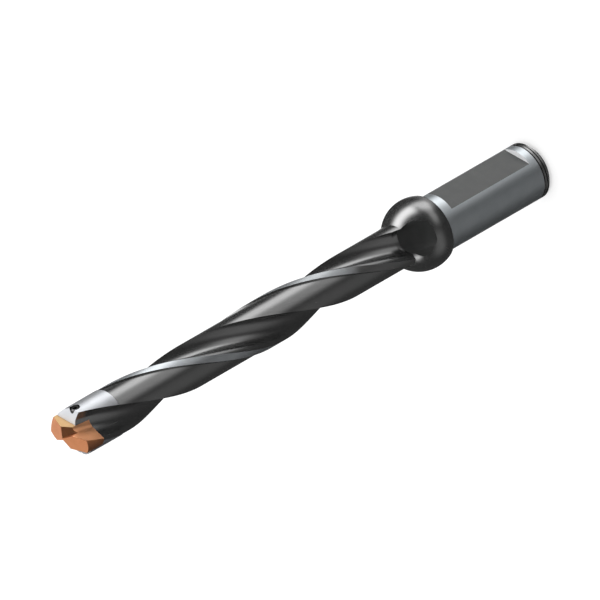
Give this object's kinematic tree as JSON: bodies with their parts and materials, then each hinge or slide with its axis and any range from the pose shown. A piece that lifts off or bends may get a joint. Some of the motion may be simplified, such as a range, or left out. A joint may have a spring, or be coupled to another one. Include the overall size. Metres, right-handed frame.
{
  "type": "replaceable tip drill",
  "caption": "Long twist drill with an exchangeable coated cutting tip clamped in its slotted head, a ball collar and a plain shank with a clamping flat.",
  "frame": {"origin": "middle of the shank's end face, on which the drill stands", "axes": "+Z along the tool axis from the shank to the point, +Y square to the clamping flat, the tip's blade along X"},
  "size_m": [0.0252, 0.0252, 0.2173],
  "materials": {
    "dark_steel": "black oxide, half gloss, with bright ground margins and head",
    "coated_carbide": "copper-coloured hard coating on ground faces",
    "screw_steel": "dark, oiled"
  },
  "bodies": {
    "root": {"drill_body": "dark_steel", "cutting_tip": "coated_carbide", "clamp_screw": "screw_steel"}
  },
  "joints": []
}
